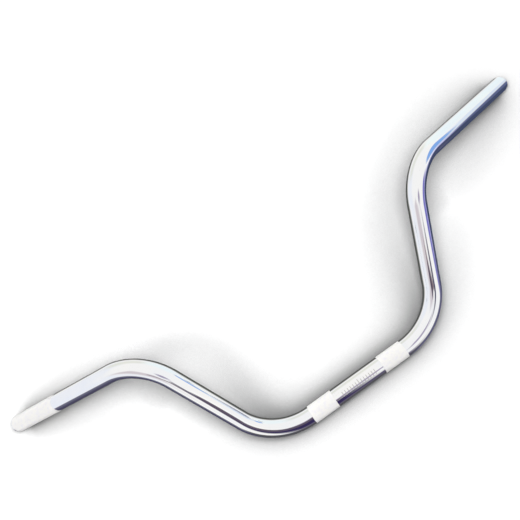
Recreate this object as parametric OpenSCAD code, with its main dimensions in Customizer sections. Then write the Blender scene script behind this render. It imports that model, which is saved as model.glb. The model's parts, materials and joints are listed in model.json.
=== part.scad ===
/* [Bar] */
// Overall width, between the middles of the two tube ends
bar_w = 800; // [700:2:900]
// Distance of the grips from the clamped section, measured in the risers' plane
rise = 188; // [150:1:230]
// Distance that each tube end is swept back behind the risers' plane
pullback = 86; // [30:1:120]
// Angle between the clamped section and the risers, in degrees
riser_angle = 70.5; // [60:0.5:80]

/* [Tube] */
// Outside diameter of the tube
tube_d = 22.2; // [20:0.1:25]
// Wall thickness of the tube
wall = 2; // [1.2:0.1:3.5]
// Radius of the two lower bends, to the tube's axis
low_bend_r = 76; // [50:1:85]
// Radius of the two upper bends, to the tube's axis
high_bend_r = 64; // [45:1:80]
// Radial loss of the tube where it was drawn round the bending die
bend_thinning = 0.04; // [0.02:0.01:0.1]
// Chamfer at the outer edge of each sawn end
end_chamfer = 0.8; // [0.2:0.1:1.2]

/* [Knurling] */
// Length of each of the two clamp bands
clamp_band_l = 35; // [20:1:45]
// Distance between the middles of the two clamp bands
clamp_spacing = 106; // [80:1:120]
// Smooth length between a clamp band and the lower bend beside it
clamp_band_inset = 0.8; // [0.5:0.1:10]
// Length of the band on the left grip
grip_band_l = 78; // [30:1:120]
// Smooth length between the grip band and the tube's end
grip_band_inset = 2; // [1.5:0.5:10]
// Height of the pressed-up crests above the smooth tube
crest_h = 0.2; // [0.05:0.05:0.3]
// Number of grooves round the tube
groove_count = 44; // [24:1:60]
// Depth of a groove below the crests
groove_depth = 0.4; // [0.15:0.05:0.5]
// Angle between the two sides of a groove, in degrees
groove_angle = 90; // [60:5:100]

/* [Hidden] */

$fn = 96;

tube_r = tube_d / 2;
bore_r = tube_r - wall;
crest_r = tube_r + crest_h;

// The clamped section ends where its bands do, and its corners lie beyond, where its axis
// would meet the risers' axes if the lower bends were sharp
base_straight = clamp_spacing + clamp_band_l + 2 * clamp_band_inset;
low_setback = low_bend_r * tan(riser_angle / 2);
base_corners = base_straight + 2 * low_setback;

// Risers and grips from corner to corner
riser_l = rise / sin(riser_angle);
grip_run = (bar_w - base_corners) / 2 - rise / tan(riser_angle);
grip_l = norm([grip_run, pullback]);
sweep_angle = atan2(pullback, grip_run);

// The upper bend lies in its own plane, turned about the riser by bend_roll
high_angle = acos(cos(riser_angle) * cos(sweep_angle));
bend_roll = atan2(-sin(sweep_angle), -sin(riser_angle) * cos(sweep_angle));

// Straight lengths that are left beside the bends
high_setback = high_bend_r * tan(high_angle / 2);
riser_straight = riser_l - low_setback - high_setback;
grip_straight = grip_l - high_setback;

// A bend reaches this far into its straight neighbours, in degrees of its own arc
bend_lap = 0.5;
// Cutters pass the surface that they open by this much
overcut = 1;

// At rest the bar lies on the crests of its clamp bands and on the edges of its two ends.
// It is tilted about the clamped section until all of them are at one height.
end_drop = pullback - end_chamfer * sin(sweep_angle);
end_reach = norm([rise, end_drop]);
function end_edge_r(tilt) = tube_r * sqrt(1 - pow(sin(sweep_angle) * cos(tilt), 2));
function level_tilt(tilt, passes) =
    passes == 0 ? tilt
    : level_tilt(atan2(end_drop, rise) + asin((end_edge_r(tilt) - crest_r) / end_reach), passes - 1);
tilt_passes = 8;
rest_tilt = level_tilt(0, tilt_passes);

// Straight length of round stock along +X
module stock(r, l) {
    rotate([0, 90, 0]) cylinder(h = l, r = r);
}

// Stock bent from +X towards +Y, with a short lap at both ends
module bent_stock(r, bend_r, angle) {
    translate([0, bend_r, 0])
        rotate([0, 0, -90 - bend_lap])
            rotate_extrude(angle = angle + 2 * bend_lap)
                translate([bend_r, 0]) circle(r = r);
}

// Carries its children past a bend, to where the next straight length starts
module past_bend(bend_r, angle) {
    translate([bend_r * sin(angle), bend_r * (1 - cos(angle)), 0])
        rotate([0, 0, angle]) children();
}

// Carries its children to the start of the riser, the upper bend and the grip of the right half
module at_riser() {
    translate([base_straight / 2, 0, 0]) past_bend(low_bend_r, riser_angle) children();
}
module at_high_bend() {
    at_riser() translate([riser_straight, 0, 0]) rotate([bend_roll, 0, 0]) children();
}
module at_grip() {
    at_high_bend() past_bend(high_bend_r, high_angle) children();
}

// Both halves of the bar, the left one as the mirror image of the right
module both_halves() {
    children();
    mirror([1, 0, 0]) children();
}

// The whole run of stock from one end to the other, longer by extra at both ends
module stock_run(r, extra = 0) {
    translate([-base_straight / 2, 0, 0]) stock(r, base_straight);
    both_halves() {
        translate([base_straight / 2, 0, 0]) bent_stock(r - bend_thinning, low_bend_r, riser_angle);
        at_riser() stock(r, riser_straight);
        at_high_bend() bent_stock(r - bend_thinning, high_bend_r, high_angle);
        at_grip() stock(r, grip_straight + extra);
    }
}

// What is turned off the outer edge of a sawn end that faces +X at the origin
module end_chamfer_cutter() {
    rotate([0, 90, 0])
        translate([0, 0, -end_chamfer])
            difference() {
                cylinder(h = end_chamfer + overcut, r = tube_r + overcut);
                cylinder(h = end_chamfer, r1 = tube_r, r2 = tube_r - end_chamfer);
                cylinder(h = end_chamfer + 2 * overcut, r = tube_r - end_chamfer);
            }
}

// Places its children where the clamp bands and the grip band start
module at_clamp_bands() {
    for (side = [-1, 1])
        translate([side * clamp_spacing / 2 - clamp_band_l / 2, 0, 0]) children();
}
module at_grip_band() {
    mirror([1, 0, 0]) at_grip()
        translate([grip_straight - grip_band_inset - grip_band_l, 0, 0]) children();
}

// The V-shaped grooves of a band, side by side round the tube and parallel to its axis
module knurl_grooves(l) {
    mouth_r = crest_r + overcut;
    root_r = crest_r - groove_depth;
    mouth_half_w = (mouth_r - root_r) * tan(groove_angle / 2);
    rotate([0, 90, 0])
        linear_extrude(l)
            for (i = [0 : groove_count - 1])
                rotate(360 / groove_count * i)
                    polygon([[root_r, 0], [mouth_r, mouth_half_w], [mouth_r, -mouth_half_w]]);
}

// One piece: a seamless steel tube, bent four times, knurled and sawn off square
module handlebar_tube() {
    color("silver")
        rotate([rest_tilt, 0, 0])
            difference() {
                union() {
                    stock_run(tube_r);
                    at_clamp_bands() stock(crest_r, clamp_band_l);
                    at_grip_band() stock(crest_r, grip_band_l);
                }
                stock_run(bore_r, overcut);
                both_halves() at_grip() translate([grip_straight, 0, 0]) end_chamfer_cutter();
                at_clamp_bands() knurl_grooves(clamp_band_l);
                at_grip_band() knurl_grooves(grip_band_l);
            }
}

handlebar_tube();
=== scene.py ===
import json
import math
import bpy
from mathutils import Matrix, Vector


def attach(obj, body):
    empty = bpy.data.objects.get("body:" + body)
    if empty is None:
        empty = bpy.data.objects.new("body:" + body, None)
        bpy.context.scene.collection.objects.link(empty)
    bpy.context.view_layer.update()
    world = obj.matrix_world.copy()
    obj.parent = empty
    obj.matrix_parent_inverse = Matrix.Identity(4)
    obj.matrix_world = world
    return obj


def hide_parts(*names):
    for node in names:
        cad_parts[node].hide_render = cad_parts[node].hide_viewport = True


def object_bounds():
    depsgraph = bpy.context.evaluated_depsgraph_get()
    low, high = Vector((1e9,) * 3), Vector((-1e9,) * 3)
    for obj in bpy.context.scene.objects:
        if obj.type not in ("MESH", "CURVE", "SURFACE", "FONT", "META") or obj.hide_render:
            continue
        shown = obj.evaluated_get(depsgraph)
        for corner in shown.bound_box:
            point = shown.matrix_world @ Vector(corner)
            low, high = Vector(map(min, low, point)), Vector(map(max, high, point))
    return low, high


bl_info = {
    "name": "High-Rise Handlebar",
    "version": (1, 0, 0),
    "blender": (4, 5, 0),
    "location": "View3D > Sidebar > Handlebar",
    "description": "Chromed handlebar, bent from one knurled tube, lying on a pale floor",
    "category": "Add Mesh",
}

import bpy
from mathutils import Matrix, Vector

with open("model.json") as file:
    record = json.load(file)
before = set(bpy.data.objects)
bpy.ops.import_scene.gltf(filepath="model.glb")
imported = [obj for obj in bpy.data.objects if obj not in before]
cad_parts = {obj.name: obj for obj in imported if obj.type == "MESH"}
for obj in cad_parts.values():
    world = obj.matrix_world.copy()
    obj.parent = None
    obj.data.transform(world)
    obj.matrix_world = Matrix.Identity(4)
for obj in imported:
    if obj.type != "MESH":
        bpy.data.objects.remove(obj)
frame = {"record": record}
CAD_BOX = [list(corner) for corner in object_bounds()]
NODE = "handlebar_tube"
BODY = "root"

# Millimetres and micrometres in metres
MM = 0.001
UM = 0.000001

# What the faces of a stretch of wall are finished as
PLATE, SATIN, BORE = range(3)

# Edges that turn by more than this stay crisp: chamfers, grooves and band ends
SHARP_DEGREES = 25

# A run may pass a whole number of steps by this share of a step before it gets one more
STEP_SLACK = 0.001

# Soft edges of an etched tick, at its sides and at its two ends
TICK_SIDE_EDGE = 0.2 * MM
TICK_END_EDGE = 0.3 * MM

# Patterns in the metal: size of a patch, detail, and the noise at which it is clear and full
CLOUDS = (40 * MM, 2.0, 0.35, 0.65)
DUST = (3 * MM, 6.0, 0.5, 0.8)
WEAR = (4 * MM, 4.0, 0.45, 0.75)
STAIN = (6 * MM, 5.0, 0.45, 0.7)

# Fine relief of the metal: size of a patch, detail, strength and depth
BUFFED = (9 * MM, 1.0, 0.5, 20 * UM)
PRESSED = (0.5 * MM, 3.0, 0.4, 40 * UM)

# Roughness and metal share, from where a pattern is clear to where it is full
PLATE_ROUGHNESS = (0.035, 0.12)
SATIN_ROUGHNESS = (0.55, 0.65)
SATIN_METAL = 0.2
BORE_ROUGHNESS = (0.45, 0.75)
BORE_METAL = (0.9, 0.2)

# How much of the etching's colour a tick has, and how much rougher it is than the plate
TICK_COLOUR_SHARE = 0.55
TICK_ROUGHNESS = 0.3


def mount(name):
    """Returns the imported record's mount of that name"""
    return next(m for m in frame["record"]["mounts"] if m["name"] == name)


def place(name):
    """Returns where a mount is"""
    return Vector(mount(name)["pos_m"])


def across(name):
    """Returns the diameter of a round mount"""
    return 2 * mount(name)["dims"]["r_mm"] * MM


def along(name):
    """Returns the length of a round mount"""
    return mount(name)["dims"]["length_mm"] * MM


def linear_colour(hex_code):
    """Returns the linear colour of an sRGB hex code such as #EDEFF2"""
    shares = [int(hex_code[i : i + 2], 16) / 255 for i in (1, 3, 5)]
    return [s / 12.92 if s <= 0.04045 else ((s + 0.055) / 1.055) ** 2.4 for s in shares]


def length_property(name, description, default):
    """Returns a property that holds a length in metres"""
    return bpy.props.FloatProperty(
        name=name, description=description, default=default, min=0, subtype="DISTANCE", unit="LENGTH"
    )


def angle_property(name, description, degrees):
    """Returns a property that holds an angle"""
    return bpy.props.FloatProperty(
        name=name, description=description, default=math.radians(degrees), subtype="ANGLE", unit="ROTATION"
    )


def colour_property(name, description, hex_code):
    """Returns a property that holds a colour"""
    return bpy.props.FloatVectorProperty(
        name=name, description=description, default=linear_colour(hex_code), min=0, max=1, subtype="COLOR"
    )


class TubeSizes(bpy.types.PropertyGroup):
    """Sizes of the bent tube"""

    width: length_property("Width", "Between the middles of the two tube ends", 2 * place("bar_end_right").x)
    rise: length_property("Rise", "From the clamped section to the grips, in the risers' plane", 188 * MM)
    pullback: length_property("Pullback", "How far the tube ends are swept back", 86 * MM)
    riser_angle: angle_property("Riser angle", "Between the clamped section and the risers", 70.5)
    low_radius: length_property("Lower bends", "Radius of the tube's axis in the lower bends", 76 * MM)
    high_radius: length_property("Upper bends", "Radius of the tube's axis in the upper bends", 64 * MM)
    clamped_run: length_property("Clamped run", "Straight length between the two lower bends", 142.6 * MM)
    diameter: length_property("Diameter", "Outside diameter of the smooth tube", across("grip_right"))
    bore: length_property("Bore", "Inside diameter of the tube", across("bar_end_right"))
    end_chamfer: length_property("End chamfer", "Outer chamfer of the sawn ends", 0.8 * MM)
    bore_chamfer: length_property("Bore chamfer", "Inner chamfer of the sawn ends", 0.3 * MM)
    bend_step: angle_property("Bend step", "Turn from one ring of faces to the next in a bend", 1.5)
    straight_step: length_property("Straight step", "Longest ring of faces on a straight run", 12 * MM)


class KnurlSizes(bpy.types.PropertyGroup):
    """Sizes of the knurled bands"""

    clamp_length: length_property("Clamp band", "Length of each clamp band", along("clamp_left"))
    clamp_offset: length_property(
        "Clamp offset", "Middle of a clamp band from the bar's middle", place("clamp_right").x
    )
    grip_length: length_property("Grip band", "Length of the band on the left grip", along("grip_left"))
    grip_offset: length_property(
        "Grip offset",
        "Middle of the grip band from the tube's end",
        (place("grip_left") - place("bar_end_left")).length,
    )
    crest: length_property(
        "Crest", "Height of the crests above the tube", (across("grip_left") - across("grip_right")) / 2
    )
    run_out: length_property("Run-out", "Length over which a band rises from the tube", 0.3 * MM)
    grooves: bpy.props.IntProperty(name="Grooves", description="Grooves round the tube", default=44, min=12)
    depth: length_property("Depth", "Depth of a groove below the crests", 0.4 * MM)
    tick_pitch: length_property("Tick pitch", "Between the etched ticks in the middle", 4 * MM)
    tick_width: length_property("Tick width", "Width of a tick", 0.9 * MM)
    tick_length: length_property("Tick length", "Length of a tick across the tube", 6 * MM)
    middle_tick: length_property("Middle tick", "Length of the tick at the bar's middle", 9.6 * MM)
    tick_reach: length_property("Tick reach", "From the bar's middle to beyond the last tick", 26 * MM)
    margin: length_property("Margin", "Matt plate that goes on beyond the grip band, up the grip", 4 * MM)
    groove_angle: angle_property("Groove angle", "Between the two sides of a groove", 90)


class Finishes(bpy.types.PropertyGroup):
    """Colours of the metal"""

    plate: colour_property("Plate", "Bright chrome plate", "#FBFBFA")
    plate_cool: colour_property("Plate, cool", "Cooler clouds in the bright plate", "#F6F8FB")
    satin: colour_property("Satin", "Plate on the knurled bands", "#F5F4F1")
    satin_shade: colour_property("Satin, shade", "Worn and dusty spots on the bands", "#EEEDF2")
    etching: colour_property("Etching", "Ticks etched into the plate", "#8C897F")
    bore: colour_property("Bore", "Bare steel inside the tube", "#6E6A66")
    bore_rust: colour_property("Bore, stain", "Brown stain inside the tube", "#4A3B30")


def sizes(kind):
    """Returns this scene's settings of one kind: tube, knurl or finish"""
    return getattr(bpy.context.scene, "handlebar_" + kind)


def add(tree, kind, inputs=None, **settings):
    """Adds a node with its settings, and sets or links its inputs"""
    node = tree.nodes.new(kind)
    for name, value in settings.items():
        setattr(node, name, value)
    for key, value in (inputs or {}).items():
        if isinstance(value, bpy.types.NodeSocket):
            tree.links.new(value, node.inputs[key])
        else:
            node.inputs[key].default_value = value
    return node


def four(colour):
    """Returns a colour with full alpha"""
    return (*colour[:3], 1)


def bend_points(before, corner, after, radius, step):
    """Returns points along the arc that rounds a corner, both of its ends among them"""
    way_in = (corner - before).normalized()
    way_out = (after - corner).normalized()
    angle = way_in.angle(way_out)
    hinge = way_in.cross(way_out).normalized()
    start = corner - way_in * radius * math.tan(angle / 2)
    spoke = -hinge.cross(way_in) * radius
    count = math.ceil(angle / step)
    centre = start - spoke
    return [centre + Matrix.Rotation(angle * i / count, 3, hinge) @ spoke for i in range(count + 1)]


def bar_corners():
    """Returns the six corners of the tube's axis, from the left end to the right, as the bar lies"""
    tube = sizes("tube")
    lean = tube.riser_angle
    base_half = tube.clamped_run / 2 + tube.low_radius * math.tan(lean / 2)
    top = base_half + tube.rise / math.tan(lean)
    right = [
        Vector((base_half, 0, 0)),
        Vector((top, tube.rise, 0)),
        Vector((tube.width / 2, tube.rise, -tube.pullback)),
    ]
    end = place("bar_end_right")
    tilt = math.atan2(end.z, end.y) + math.atan2(tube.pullback, tube.rise)
    right = [Matrix.Rotation(tilt, 3, "X") @ p for p in right]
    left = [Vector((-p.x, p.y, p.z)) for p in reversed(right)]
    return left + right


def axis_points():
    """Returns points along the tube's axis, close together in the bends"""
    tube = sizes("tube")
    corners = bar_corners()
    radii = (tube.high_radius, tube.low_radius, tube.low_radius, tube.high_radius)
    points = [corners[0]]
    for i, radius in enumerate(radii, 1):
        points += bend_points(corners[i - 1], corners[i], corners[i + 1], radius, tube.bend_step)
    return points + [corners[-1]]


def stations(points):
    """Returns how far along the axis each of its points lies"""
    found = [0.0]
    for a, b in zip(points, points[1:]):
        found.append(found[-1] + (b - a).length)
    return found


def band_edges(length):
    """Returns where each knurled band starts and ends along a tube of that length"""
    knurl = sizes("knurl")
    middles = [
        (knurl.grip_offset, knurl.grip_length),
        (length / 2 - knurl.clamp_offset, knurl.clamp_length),
        (length / 2 + knurl.clamp_offset, knurl.clamp_length),
    ]
    return [(middle - run / 2, middle + run / 2) for middle, run in middles]


def spread(marks, step):
    """Returns the marks with more of them between any two that lie further apart than step"""
    found = []
    for a, b in zip(marks, marks[1:]):
        count = max(1, math.ceil((b - a) / step - STEP_SLACK))
        found += [a + (b - a) * i / count for i in range(count)]
    return found + [marks[-1]]


def wall_rings(axis_marks):
    """Returns the rings of the tube's wall in order, as (station, radius, share of the crest, zone of
    the faces up to the next ring): out along the surface, and back through the bore"""
    tube, knurl = sizes("tube"), sizes("knurl")
    length = axis_marks[-1]
    outer, inner = tube.diameter / 2, tube.bore / 2
    bands = band_edges(length)
    crests = {}
    for low, high in bands:
        crests.update({low: 0, low + knurl.run_out: 1, high - knurl.run_out: 1, high: 0})
    ends = {tube.end_chamfer, length - tube.end_chamfer}
    grip_low, grip_high = bands[0]
    matt = [(grip_low, grip_high + knurl.margin), *bands[1:]]
    marks = spread(sorted({*axis_marks, *crests, *ends, matt[0][1]}), tube.straight_step)
    rings = []
    for mark in marks:
        on_band = any(low <= mark < high for low, high in matt)
        inside = any(low < mark < high for low, high in bands)
        radius = outer - (tube.end_chamfer if mark in (0, length) else 0)
        rings.append((mark, radius, crests.get(mark, 1 if inside else 0), SATIN if on_band else PLATE))
    chamfer = tube.bore_chamfer
    back = spread(sorted({0, chamfer, *axis_marks[1:-1:2], length - chamfer, length}), tube.straight_step)
    for mark in reversed(back):
        radius = inner + (chamfer if mark in (0, length) else 0)
        zone = PLATE if mark == 0 else BORE
        rings.append((mark, radius, 0, zone))
    return rings


def ring_angles():
    """Returns where the corners of a ring lie round the tube: one on each crest and three in each groove"""
    knurl = sizes("knurl")
    crest_radius = sizes("tube").diameter / 2 + knurl.crest
    pitch = 2 * math.pi * crest_radius / knurl.grooves
    mouth = knurl.depth * math.tan(knurl.groove_angle / 2) / pitch
    shares = (0, 0.5 - mouth, 0.5, 0.5 + mouth)
    return [2 * math.pi * (i + share) / knurl.grooves for i in range(knurl.grooves) for share in shares]


def straight_tube(name, axis_marks):
    """Makes the wall of the tube before it is bent, lying along X, still without its knurling"""
    rings, angles = wall_rings(axis_marks), ring_angles()
    count, sides = len(rings), len(angles)
    vertices = [(s, r * math.cos(a), r * math.sin(a)) for s, r, _, _ in rings for a in angles]
    faces = []
    for i in range(count):
        here, ahead = i * sides, (i + 1) % count * sides
        for j, beside in enumerate([*range(1, sides), 0]):
            faces.append((ahead + j, ahead + beside, here + beside, here + j))
    mesh = bpy.data.meshes.new(name)
    mesh.from_pydata(vertices, [], faces)
    crest = mesh.attributes.new("crest", "FLOAT", "POINT")
    crest.data.foreach_set("value", [share for _, _, share, _ in rings for _ in angles])
    zone = mesh.attributes.new("zone", "INT", "FACE")
    zone.data.foreach_set("value", [z for _, _, _, z in rings for _ in angles])
    outer = sizes("tube").diameter / 2
    girth = [angle * outer for angle in angles] + [2 * math.pi * outer]
    surface = mesh.uv_layers.new(name="surface")
    for face in mesh.polygons:
        i, j = divmod(face.index, sides)
        here, ahead = rings[i][0], rings[(i + 1) % count][0]
        corners = ((ahead, girth[j]), (ahead, girth[j + 1]), (here, girth[j + 1]), (here, girth[j]))
        for loop, corner in zip(face.loop_indices, corners):
            surface.data[loop].uv = corner
    mesh.update()
    return mesh


def axis_mesh(points):
    """Makes the tube's axis as a chain of edges"""
    mesh = bpy.data.meshes.new("bar_axis")
    mesh.from_pydata(points, [(i, i + 1) for i in range(len(points) - 1)], [])
    return mesh


def tree_input(tree, name, kind, description):
    """Adds a named input to a geometry tree"""
    tree.interface.new_socket(name=name, in_out="INPUT", socket_type=kind, description=description)


def maths(tree, operation, a, b=0.0):
    """Adds one step of arithmetic and returns its result"""
    return add(tree, "ShaderNodeMath", {0: a, 1: b}, operation=operation).outputs[0]


def vector_maths(tree, operation, a, b=(0, 0, 0), scale=1.0):
    """Adds one step of vector arithmetic and returns its result"""
    inputs = {0: a, "Scale": scale} if operation == "SCALE" else {0: a, 1: b}
    node = add(tree, "ShaderNodeVectorMath", inputs, operation=operation)
    return node.outputs["Value" if operation in ("DOT_PRODUCT", "LENGTH") else "Vector"]


def bending_tree():
    """Builds the tree that presses the knurling into a straight tube and bends the tube along its axis"""
    tree = bpy.data.node_groups.new("Knurl and bend a tube", "GeometryNodeTree")
    tree_input(tree, "Geometry", "NodeSocketGeometry", "Straight tube along X")
    tree_input(tree, "Axis", "NodeSocketObject", "Chain of edges along the bent axis")
    tree_input(tree, "Grooves", "NodeSocketInt", "Grooves round the tube")
    tree_input(tree, "Crest Radius", "NodeSocketFloat", "Radius of the crests")
    tree_input(tree, "Crest Height", "NodeSocketFloat", "Height of the crests above the tube")
    tree_input(tree, "Groove Depth", "NodeSocketFloat", "Depth of a groove below the crests")
    tree_input(tree, "Groove Angle", "NodeSocketFloat", "Between the two sides of a groove")
    for finish in ("Plate", "Satin", "Bore"):
        tree_input(tree, finish, "NodeSocketMaterial", "Material of that part of the wall")
    tree.interface.new_socket(name="Geometry", in_out="OUTPUT", socket_type="NodeSocketGeometry")
    given = add(tree, "NodeGroupInput").outputs

    apart = add(tree, "ShaderNodeSeparateXYZ", {0: add(tree, "GeometryNodeInputPosition").outputs[0]}).outputs
    turn = maths(tree, "DIVIDE", maths(tree, "ARCTAN2", apart["Z"], apart["Y"]), 2 * math.pi)
    phase = maths(tree, "FRACT", maths(tree, "MULTIPLY", turn, given["Grooves"]))
    girth = maths(tree, "MULTIPLY", given["Crest Radius"], 2 * math.pi)
    pitch = maths(tree, "DIVIDE", girth, given["Grooves"])
    off_groove = maths(tree, "ABSOLUTE", maths(tree, "SUBTRACT", phase, 0.5))
    slope = maths(tree, "TANGENT", maths(tree, "DIVIDE", given["Groove Angle"], 2))
    rise = maths(tree, "DIVIDE", maths(tree, "MULTIPLY", off_groove, pitch), slope)
    cut = maths(tree, "MAXIMUM", maths(tree, "SUBTRACT", given["Groove Depth"], rise), 0.0)
    crest = add(tree, "GeometryNodeInputNamedAttribute", {"Name": "crest"}, data_type="FLOAT").outputs[0]
    lift = maths(tree, "MULTIPLY", maths(tree, "SUBTRACT", given["Crest Height"], cut), crest)

    spoke = add(tree, "ShaderNodeCombineXYZ", {"Y": apart["Y"], "Z": apart["Z"]}).outputs[0]
    outwards = vector_maths(tree, "NORMALIZE", spoke)
    pressed = vector_maths(tree, "ADD", spoke, vector_maths(tree, "SCALE", outwards, scale=lift))
    pressed = add(tree, "ShaderNodeSeparateXYZ", {0: pressed}).outputs

    chain = add(tree, "GeometryNodeObjectInfo", {"Object": given["Axis"]}).outputs["Geometry"]
    curve = add(tree, "GeometryNodeMeshToCurve", {"Mesh": chain}).outputs[0]
    inputs = {"Curves": curve, "Length": apart["X"]}
    sample = add(tree, "GeometryNodeSampleCurve", inputs, mode="LENGTH").outputs
    normal = vector_maths(tree, "NORMALIZE", sample["Normal"])
    side = vector_maths(tree, "CROSS_PRODUCT", vector_maths(tree, "NORMALIZE", sample["Tangent"]), normal)
    up = vector_maths(tree, "SCALE", normal, scale=pressed["Y"])
    sideways = vector_maths(tree, "SCALE", side, scale=pressed["Z"])
    bent = vector_maths(tree, "ADD", sample["Position"], vector_maths(tree, "ADD", up, sideways))
    shape = add(tree, "GeometryNodeSetPosition", {"Geometry": given["Geometry"], "Position": bent}).outputs[0]
    shape = add(tree, "GeometryNodeRealizeInstances", {"Geometry": shape}).outputs[0]
    zone = add(tree, "GeometryNodeInputNamedAttribute", {"Name": "zone"}, data_type="INT").outputs[0]
    for value, finish in ((PLATE, "Plate"), (SATIN, "Satin"), (BORE, "Bore")):
        same = add(tree, "FunctionNodeCompare", {2: zone, 3: value}, data_type="INT", operation="EQUAL")
        inputs = {"Geometry": shape, "Selection": same.outputs[0], "Material": given[finish]}
        shape = add(tree, "GeometryNodeSetMaterial", inputs).outputs[0]
    add(tree, "NodeGroupOutput", {"Geometry": shape})
    return tree


def run_tree(piece, tree, values):
    """Runs a geometry tree on a piece with the values of its named inputs, and keeps the plain result"""
    modifier = piece.modifiers.new(tree.name, "NODES")
    modifier.node_group = tree
    for socket in tree.interface.items_tree:
        if socket.in_out == "INPUT" and socket.name in values:
            modifier[socket.identifier] = values[socket.name]
    bpy.context.view_layer.update()
    graph = bpy.context.evaluated_depsgraph_get()
    result = bpy.data.meshes.new_from_object(piece.evaluated_get(graph), depsgraph=graph)
    piece.modifiers.remove(modifier)
    piece.data = result


def new_object(name, data):
    """Adds an object to the scene"""
    thing = bpy.data.objects.new(name, data)
    bpy.context.scene.collection.objects.link(thing)
    return thing


def new_material(name):
    """Returns a material, its tree and its main shader"""
    material = bpy.data.materials.new(name)
    material.use_nodes = True
    return material, material.node_tree, material.node_tree.nodes["Principled BSDF"]


def grain(tree, where, size, detail):
    """Returns noise whose patches are about that large"""
    inputs = {"Vector": where, "Scale": 1 / size, "Detail": detail}
    return add(tree, "ShaderNodeTexNoise", inputs).outputs["Fac"]


def ramp(tree, value, low, high, start, end):
    """Maps a value that runs from low to high onto start to end"""
    inputs = {"Value": value, "From Min": low, "From Max": high, "To Min": start, "To Max": end}
    return add(tree, "ShaderNodeMapRange", inputs).outputs["Result"]


def patches(tree, where, pattern, start=0, end=1):
    """Maps a pattern from where it is clear to where it is full onto start to end"""
    size, detail, clear, full = pattern
    return ramp(tree, grain(tree, where, size, detail), clear, full, start, end)


def emboss(tree, where, shader, relief):
    """Gives a shader a fine relief"""
    size, detail, strength, depth = relief
    inputs = {"Height": grain(tree, where, size, detail), "Strength": strength, "Distance": depth}
    bump = add(tree, "ShaderNodeBump", inputs).outputs[0]
    tree.links.new(bump, shader.inputs["Normal"])


def mixed(tree, share, a, b):
    """Returns a mix of two colours"""
    inputs = {0: share, 6: a if isinstance(a, bpy.types.NodeSocket) else four(a)}
    inputs[7] = b if isinstance(b, bpy.types.NodeSocket) else four(b)
    return add(tree, "ShaderNodeMix", inputs, data_type="RGBA").outputs[2]


def within(tree, value, half, edge):
    """Returns 1 where a value lies within half of zero and 0 beyond, over a soft edge"""
    return ramp(tree, maths(tree, "ABSOLUTE", value), half - edge / 2, half + edge / 2, 1, 0)


def middle_ticks(tree, where):
    """Returns 1 on the plain ticks, etched across the top of the tube, that help to centre the bar"""
    knurl = sizes("knurl")
    apart = add(tree, "ShaderNodeSeparateXYZ", {0: where}).outputs
    step = maths(tree, "DIVIDE", apart["X"], knurl.tick_pitch)
    off = maths(tree, "MULTIPLY", maths(tree, "SUBTRACT", step, maths(tree, "ROUND", step)), knurl.tick_pitch)
    thin = within(tree, off, knurl.tick_width / 2, TICK_SIDE_EDGE)
    reach = within(tree, apart["X"], knurl.tick_reach, TICK_SIDE_EDGE)
    in_middle = within(tree, apart["X"], knurl.tick_pitch / 2, TICK_SIDE_EDGE)
    half = ramp(tree, in_middle, 0, 1, knurl.tick_length / 2, knurl.middle_tick / 2)
    beyond = maths(tree, "SUBTRACT", maths(tree, "ABSOLUTE", apart["Y"]), half)
    near_top = ramp(tree, beyond, 0, TICK_END_EDGE, 1, 0)
    on_top = maths(tree, "GREATER_THAN", apart["Z"], 0.0)
    lines = maths(tree, "MULTIPLY", thin, reach)
    return maths(tree, "MULTIPLY", lines, maths(tree, "MULTIPLY", near_top, on_top))


def bright_chrome_plate():
    """Bright chrome over polished steel: a mirror, a little wavy as a bent and buffed tube is, with faint
    dust that softens its sharpest reflections"""
    finish = sizes("finish")
    material, tree, shader = new_material("bright_chrome_plate")
    where = add(tree, "ShaderNodeTexCoord").outputs["Object"]
    plate = mixed(tree, patches(tree, where, CLOUDS), finish.plate, finish.plate_cool)
    dust = patches(tree, where, DUST, *PLATE_ROUGHNESS)
    ticks = middle_ticks(tree, where)
    etched = maths(tree, "MULTIPLY", ticks, TICK_COLOUR_SHARE)
    tree.links.new(mixed(tree, etched, plate, finish.etching), shader.inputs["Base Color"])
    rough = maths(tree, "ADD", dust, maths(tree, "MULTIPLY", ticks, TICK_ROUGHNESS))
    tree.links.new(rough, shader.inputs["Roughness"])
    shader.inputs["Metallic"].default_value = 1
    emboss(tree, where, shader, BUFFED)
    return material


def satin_chrome_knurl():
    """Chrome over knurled steel: the pressed grooves and crests are left unpolished, so that the plate on
    them scatters nearly all light and looks an even, pale white"""
    finish = sizes("finish")
    material, tree, shader = new_material("satin_chrome_knurl")
    where = add(tree, "ShaderNodeTexCoord").outputs["Object"]
    worn = patches(tree, where, WEAR)
    tree.links.new(mixed(tree, worn, finish.satin, finish.satin_shade), shader.inputs["Base Color"])
    tree.links.new(ramp(tree, worn, 0, 1, *SATIN_ROUGHNESS), shader.inputs["Roughness"])
    shader.inputs["Metallic"].default_value = SATIN_METAL
    emboss(tree, where, shader, PRESSED)
    return material


def bare_steel_bore():
    """Drawn steel tube as it comes from the mill: dull and grey, with brown stains where plating never
    reached"""
    finish = sizes("finish")
    material, tree, shader = new_material("bare_steel_bore")
    where = add(tree, "ShaderNodeTexCoord").outputs["Object"]
    stain = patches(tree, where, STAIN)
    tree.links.new(mixed(tree, stain, finish.bore, finish.bore_rust), shader.inputs["Base Color"])
    tree.links.new(ramp(tree, stain, 0, 1, *BORE_ROUGHNESS), shader.inputs["Roughness"])
    tree.links.new(ramp(tree, stain, 0, 1, *BORE_METAL), shader.inputs["Metallic"])
    return material


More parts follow.
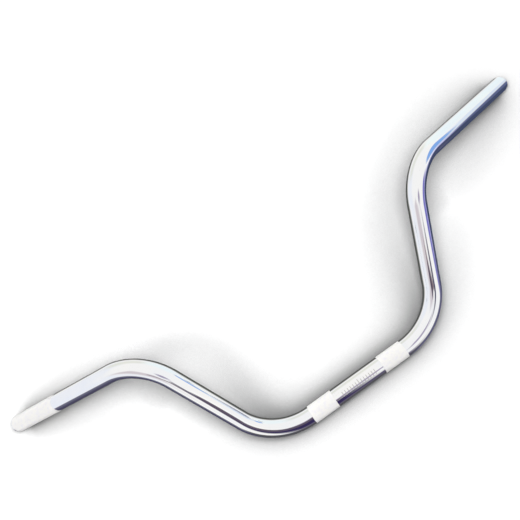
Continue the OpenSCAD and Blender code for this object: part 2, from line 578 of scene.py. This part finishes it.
class HANDLEBAR_OT_tube(bpy.types.Operator):
    """Make the bent and knurled tube in place of its plain solid"""

    bl_idname = "handlebar.tube"
    bl_label = "Bent tube"

    def execute(self, context):
        tube, knurl = sizes("tube"), sizes("knurl")
        points = axis_points()
        axis = new_object("bar_axis", axis_mesh(points))
        piece = new_object("chromed_tube", straight_tube("chromed_tube", stations(points)))
        values = {
            "Axis": axis,
            "Grooves": knurl.grooves,
            "Crest Radius": tube.diameter / 2 + knurl.crest,
            "Crest Height": knurl.crest,
            "Groove Depth": knurl.depth,
            "Groove Angle": knurl.groove_angle,
            "Plate": bright_chrome_plate(),
            "Satin": satin_chrome_knurl(),
            "Bore": bare_steel_bore(),
        }
        run_tree(piece, bending_tree(), values)
        bpy.data.objects.remove(axis)
        piece.data.shade_smooth()
        piece.data.set_sharp_from_angle(angle=math.radians(SHARP_DEGREES))
        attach(piece, BODY)
        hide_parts(NODE)
        return {"FINISHED"}


# The camera: its place, the point that it looks at, what is up in the picture, and its lens in
# millimetres
EYE = Vector((-23.9, 92.5, 510.4)) * MM
LOOKED_AT = Vector((-11.3, 199.0, 0)) * MM
PICTURE_UP = Vector((0.576, 0.797, 0.179))
FOCAL_LENGTH = 26.64

# The floor: half of its side in metres, and the directions that run to the right and up in the picture
FLOOR_HALF = 6.0
FLOOR_RIGHT = Vector((0.8209, -0.5714, 0))
FLOOR_UP = Vector((0.5714, 0.8209, 0))

# Light on the floor: the dome gives this share of white, and the key lamp the rest. The fill lamp
# brightens the left grip. Powers are in watts, and radii in metres.
WHITE = "#FFFFFF"
DOME_STRENGTH = 0.15
KEY_POWER = 35.0
KEY_RADIUS = 0.13
KEY_PLACE = EYE + PICTURE_UP * 55 * MM
FILL_POWER = 2.8
FILL_RADIUS = 0.1
FILL_PLACE = Vector((-480, 180, 440)) * MM

# Painted shadow on the floor: how light the paper's colour is made for each share of open sky above it, so
# that the paper darkens close to the bar. Only what is nearer than the reach hides the sky.
CONTACT_REACH = 90 * MM
PAINTED_CONTACT_SHADOW = {0.5: 0.24, 0.7: 0.4, 0.82: 0.6, 0.97: 1.0}
CONTACT_SAMPLES = 12

# Soft oval lights and boards close to the bar, which only the part of it beside them mirrors: colour,
# middle, the point that they face, half width and half height
CARDS = {
    "blue_window": ("#7FA9E8", (415, 146, 152), (231, 174, 74), 64, 76),
    "brown_board": ("#5E5464", (-107, -159, 296), (-152, 71, 44), 100, 80),
}

# Share of a card's reach that has its full colour. Beyond it, the card fades.
CARD_CORE = 0.7

# Corners of a square that reaches 1 to each side
SQUARE = ((-1, -1), (1, -1), (1, 1), (-1, 1))

# Half a circle, in degrees
HALF_TURN = 180.0

# Surroundings that the chrome mirrors: colour, azimuth and half width, elevation and half height, and
# softness of the edge, in degrees. Azimuth 0 is to the picture's right and 90 is up the picture. A patch
# lies over those before it.
CEILING = "#F9F8F7"
SURROUNDINGS = {
    "left wall": ("#F0F2F8", -165, 55, 3, 22, 20),
    "cream wall": ("#E6E7DF", 125, 32, 4, 14, 24),
    "right wall": ("#F1FAFC", 70, 24, 0, 22, 24),
    "grey ceiling": ("#D4CBD0", -117, 24, 42, 14, 16),
    "violet haze": ("#A49BB4", -56, 24, 69, 8, 12),
    "dark ground": ("#585956", 0, 200, -90, 56, 22),
    "slate cloth": ("#4C4A60", -80, 55, -45, 42, 6),
    "slate haze": ("#6C6B80", -118, 24, -13, 7, 12),
    "grey cloth": ("#565559", -66, 30, -50, 53, 7),
    "violet cloth": ("#62607C", -14, 24, -45, 43, 10),
    "navy cloth": ("#444C68", 20, 16, -45, 45, 6),
    "navy haze": ("#5E668C", 25, 13, -4, 8, 6),
    "brown spot": ("#7E6E76", -90, 20, 46, 2.8, 3),
    "low cupboard": ("#625B74", -53, 13, 8, 15, 14),
    "dark doorway": ("#382F56", -60, 9.5, 30, 24, 10),
    "violet curtain": ("#7673C0", -3, 11, 12, 15, 7),
    "pale sill": ("#B9B6E8", 5, 10, 1.5, 3.5, 4),
    "pale blue wall": ("#DCE6F4", 29, 14, 10, 5, 6),
}


def soft_patch(tree, azimuth, elevation, patch):
    """Returns how far a direction lies in a patch of the surroundings, from 0 to 1"""
    _, middle_a, half_a, middle_e, half_e, soft = patch
    shares = []
    for angle, middle, half in ((azimuth, middle_a, half_a), (elevation, middle_e, half_e)):
        off = maths(tree, "PINGPONG", maths(tree, "SUBTRACT", angle, middle), HALF_TURN)
        limits = {"From Min": half - soft / 2, "From Max": half + soft / 2, "To Min": 1, "To Max": 0}
        fade = add(tree, "ShaderNodeMapRange", {"Value": off, **limits}, interpolation_type="SMOOTHSTEP")
        shares.append(fade.outputs["Result"])
    return maths(tree, "MULTIPLY", shares[0], shares[1])


def background(tree, colour, strength):
    """Adds an even background and returns its light"""
    return add(tree, "ShaderNodeBackground", {"Color": colour, "Strength": strength}).outputs[0]


def make_world():
    """Lights the stage from all sides, shows a white background, and gives the metal a studio to mirror"""
    world = bpy.data.worlds.new("studio")
    world.use_nodes = True
    tree = world.node_tree
    tree.nodes.clear()
    towards = add(tree, "ShaderNodeTexCoord").outputs["Generated"]
    right = vector_maths(tree, "DOT_PRODUCT", towards, FLOOR_RIGHT)
    up = vector_maths(tree, "DOT_PRODUCT", towards, FLOOR_UP)
    azimuth = maths(tree, "DEGREES", maths(tree, "ARCTAN2", up, right))
    height = add(tree, "ShaderNodeSeparateXYZ", {0: towards}).outputs["Z"]
    elevation = maths(tree, "DEGREES", maths(tree, "ARCSINE", height))
    mirrored = linear_colour(CEILING)
    for patch in SURROUNDINGS.values():
        share = soft_patch(tree, azimuth, elevation, patch)
        mirrored = mixed(tree, share, mirrored, linear_colour(patch[0]))
    path = add(tree, "ShaderNodeLightPath").outputs
    plain = background(tree, four(linear_colour(WHITE)), DOME_STRENGTH)
    white = background(tree, four(linear_colour(WHITE)), 1)
    studio = background(tree, mirrored, 1)
    metal_or_glass = maths(tree, "MAXIMUM", path["Is Glossy Ray"], path["Is Transmission Ray"])
    seen = add(tree, "ShaderNodeMixShader", {0: metal_or_glass, 1: plain, 2: studio}).outputs[0]
    seen = add(tree, "ShaderNodeMixShader", {0: path["Is Camera Ray"], 1: seen, 2: white}).outputs[0]
    add(tree, "ShaderNodeOutputWorld", {"Surface": seen})
    bpy.context.scene.world = world


def make_lamp(name, power, radius, middle):
    """Adds one round lamp, which leaves the mirroring to the surroundings"""
    light = bpy.data.lights.new(name, "POINT")
    light.energy = power
    light.shadow_soft_size = radius
    lamp = new_object(name, light)
    lamp.location = middle
    lamp.visible_glossy = False
    return light


def make_lights():
    """Adds a large lamp beside the camera and a small one above the left grip. The large one lights all
    of the floor evenly: its strength grows with the cube of the distance, against the square of the
    distance and the slant"""
    make_lamp("fill_lamp", FILL_POWER, FILL_RADIUS, FILL_PLACE)
    key = make_lamp("key_lamp", KEY_POWER, KEY_RADIUS, KEY_PLACE)
    key.use_nodes = True
    tree = key.node_tree
    falloff = add(tree, "ShaderNodeLightFalloff", {"Strength": 1.0}).outputs
    distance = maths(tree, "DIVIDE", falloff["Constant"], falloff["Linear"])
    slant = maths(tree, "DIVIDE", distance, KEY_PLACE.z - floor_height())
    even = maths(tree, "MULTIPLY", falloff["Constant"], slant)
    tree.links.new(even, tree.nodes["Emission"].inputs["Strength"])


def floor_height():
    """Returns the height of the floor that the bar lies on"""
    return CAD_BOX[0][2]


def square_mesh(name, corners):
    """Makes a mesh of one face with four corners"""
    mesh = bpy.data.meshes.new(name)
    mesh.from_pydata(corners, [], [(0, 1, 2, 3)])
    return mesh


def make_floor():
    """Adds a floor of white paper, with a soft shadow painted into its colour close to the bar"""
    mesh = square_mesh("floor", [(x * FLOOR_HALF, y * FLOOR_HALF, floor_height()) for x, y in SQUARE])
    material, tree, shader = new_material("white_floor_painted_shadow")
    inputs = {"Distance": CONTACT_REACH}
    open_sky = add(tree, "ShaderNodeAmbientOcclusion", inputs, samples=CONTACT_SAMPLES).outputs["AO"]
    # The paper's colour is darkened where the bar hides the sky: a painted contact shadow
    painted_shadow = add(tree, "ShaderNodeValToRGB", {"Fac": open_sky})
    stops = painted_shadow.color_ramp.elements
    for share in list(PAINTED_CONTACT_SHADOW)[1:-1]:
        stops.new(share)
    for stop, (share, lightness) in zip(stops, PAINTED_CONTACT_SHADOW.items()):
        stop.position = share
        stop.color = (lightness, lightness, lightness, 1)
    tree.links.new(painted_shadow.outputs["Color"], shader.inputs["Base Color"])
    shader.inputs["Roughness"].default_value = 1
    shader.inputs["Specular IOR Level"].default_value = 0
    mesh.materials.append(material)
    floor = new_object("floor", mesh)
    floor.visible_glossy = False


def make_card(name, colour, middle, faces, half_width, half_height):
    """Adds a soft oval of one colour that only the metal sees"""
    middle, faces = Vector(middle) * MM, Vector(faces) * MM
    turn = (faces - middle).to_track_quat("Z", "Y").to_matrix()
    corners = [turn @ Vector((x * half_width, y * half_height, 0)) * MM + middle for x, y in SQUARE]
    mesh = square_mesh(name, corners)
    across_card = mesh.uv_layers.new(name="card")
    for loop, corner in zip(across_card.data, SQUARE):
        loop.uv = corner
    material, tree, shader = new_material(name)
    tree.nodes.remove(shader)
    off = vector_maths(tree, "LENGTH", add(tree, "ShaderNodeTexCoord").outputs["UV"])
    clear = ramp(tree, off, CARD_CORE, 1, 0, 1)
    glow = add(tree, "ShaderNodeEmission", {"Color": four(linear_colour(colour))}).outputs[0]
    see_through = add(tree, "ShaderNodeBsdfTransparent").outputs[0]
    soft = add(tree, "ShaderNodeMixShader", {0: clear, 1: glow, 2: see_through}).outputs[0]
    tree.links.new(soft, tree.nodes["Material Output"].inputs["Surface"])
    mesh.materials.append(material)
    card = new_object(name, mesh)
    card.visible_camera = False
    card.visible_diffuse = False
    card.visible_shadow = False


def make_camera():
    """Adds the camera at the photograph's viewing angle"""
    lens = bpy.data.cameras.new("camera")
    lens.lens = FOCAL_LENGTH
    camera = new_object("camera", lens)
    ahead = (LOOKED_AT - EYE).normalized()
    right = ahead.cross(PICTURE_UP).normalized()
    above = right.cross(ahead)
    turn = Matrix((right, above, -ahead)).transposed().to_4x4()
    camera.matrix_world = Matrix.Translation(EYE) @ turn
    bpy.context.scene.camera = camera


class HANDLEBAR_OT_stage(bpy.types.Operator):
    """Make the floor, the light, the surroundings and the camera"""

    bl_idname = "handlebar.stage"
    bl_label = "Stage"

    def execute(self, context):
        make_floor()
        for name, card in CARDS.items():
            make_card(name, *card)
        make_lights()
        make_world()
        make_camera()
        bpy.context.scene.view_settings.view_transform = "Standard"
        return {"FINISHED"}


class HANDLEBAR_PT_panel(bpy.types.Panel):
    """Lists the handlebar's pieces, sizes and finishes"""

    bl_idname = "HANDLEBAR_PT_panel"
    bl_label = "Handlebar"
    bl_space_type = "VIEW_3D"
    bl_region_type = "UI"
    bl_category = "Handlebar"

    def draw(self, context):
        for operator in OPERATORS:
            self.layout.operator(operator.bl_idname)
        for kind in SETTINGS:
            box = self.layout.box()
            for name in sizes(kind).bl_rna.properties.keys():
                if name not in ("rna_type", "name"):
                    box.prop(sizes(kind), name)


SETTINGS = {"tube": TubeSizes, "knurl": KnurlSizes, "finish": Finishes}
OPERATORS = (HANDLEBAR_OT_tube, HANDLEBAR_OT_stage)
CLASSES = (*SETTINGS.values(), *OPERATORS, HANDLEBAR_PT_panel)


def register():
    """Registers the classes and puts the settings on the scene"""
    for cls in CLASSES:
        bpy.utils.register_class(cls)
    for kind, cls in SETTINGS.items():
        setattr(bpy.types.Scene, "handlebar_" + kind, bpy.props.PointerProperty(type=cls))


def unregister():
    """Takes away what register added"""
    for kind in SETTINGS:
        delattr(bpy.types.Scene, "handlebar_" + kind)
    for cls in reversed(CLASSES):
        bpy.utils.unregister_class(cls)


def main():
    """Makes the pieces and the stage"""
    register()
    bpy.ops.handlebar.tube()
    bpy.ops.handlebar.stage()


if __name__ == "__main__":
    main()
